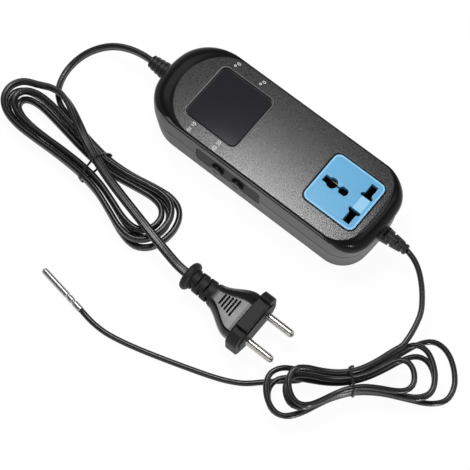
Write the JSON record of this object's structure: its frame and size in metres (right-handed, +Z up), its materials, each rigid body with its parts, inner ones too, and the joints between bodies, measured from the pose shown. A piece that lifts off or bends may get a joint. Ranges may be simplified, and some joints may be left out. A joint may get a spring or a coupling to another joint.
{
  "type": "plug in temperature controller",
  "caption": "Plug-in temperature controller: housing with display window, two push buttons and switched outlet, mains lead with two-pin plug, wound leads and steel probe",
  "frame": {"origin": "centre of the housing's base, on the surface that it rests on", "axes": "+X along the housing from the display end to the outlet end, +Y away from the button side, +Z up"},
  "size_m": [0.3248, 0.176, 0.037],
  "materials": {
    "housing": "fine speckled texture, satin",
    "housing_lower": "fine matte",
    "panel": "matte",
    "window": "polished",
    "button": "satin",
    "outlet": "satin",
    "black_plastic": "satin",
    "contact": "plain",
    "board": "satin",
    "digit_block": "matte",
    "switch_body": "satin",
    "relay_case": "satin",
    "film_case": "satin",
    "can_sleeve": "satin",
    "disc_coat": "satin",
    "fuse_glass": "clear",
    "chip": "matte",
    "white_plastic": "satin",
    "screw_steel": "zinc plated",
    "dark_steel": "black zinc",
    "cord_black": "satin",
    "tie_black": "satin",
    "plug_black": "satin",
    "nickel": "bright nickel",
    "probe_steel": "polished"
  },
  "bodies": {
    "controller": {"upper_shell": "housing", "lower_shell": "housing_lower", "display_window": "window", "button_panel": "panel", "outlet_face": "outlet", "outlet_body": "black_plastic", "outlet_base": "black_plastic", "live_contact": "contact", "neutral_contact": "contact", "earth_contact": "contact", "main_board": "board", "display_board": "board", "key_board": "board", "upper_digits": "digit_block", "lower_digits": "digit_block", "key_switches": "switch_body", "relay": "relay_case", "dropper_capacitor": "film_case", "smoothing_capacitor": "can_sleeve", "surge_disc": "disc_coat", "fuse": "fuse_glass", "controller_chip": "chip", "probe_header": "white_plastic", "lead_clamp": "white_plastic", "clamp_screws": "screw_steel", "case_screws": "dark_steel", "mains_boot": "cord_black", "probe_boot": "cord_black", "mains_core": "cord_black", "mains_lead": "cord_black", "mains_hank": "cord_black", "mains_tie": "tie_black", "plug_lead": "cord_black", "plug_body": "plug_black", "plug_pins": "nickel", "probe_lead": "cord_black", "probe_hank": "cord_black", "probe_tie": "tie_black", "probe_tail": "cord_black", "probe_tube": "probe_steel"},
    "up_key": {"up_button": "button", "up_plunger": "button"},
    "down_key": {"down_button": "button", "down_plunger": "button"}
  },
  "joints": [
    {"name": "up_key_press", "type": "slide", "parent": "controller", "child": "up_key", "axis": [0, 1, 0], "range_m": [0, 0.0005], "stiffness_N_per_m": 600, "springref_m": -0.001},
    {"name": "down_key_press", "type": "slide", "parent": "controller", "child": "down_key", "axis": [0, 1, 0], "range_m": [0, 0.0005], "stiffness_N_per_m": 600, "springref_m": -0.001}
  ]
}
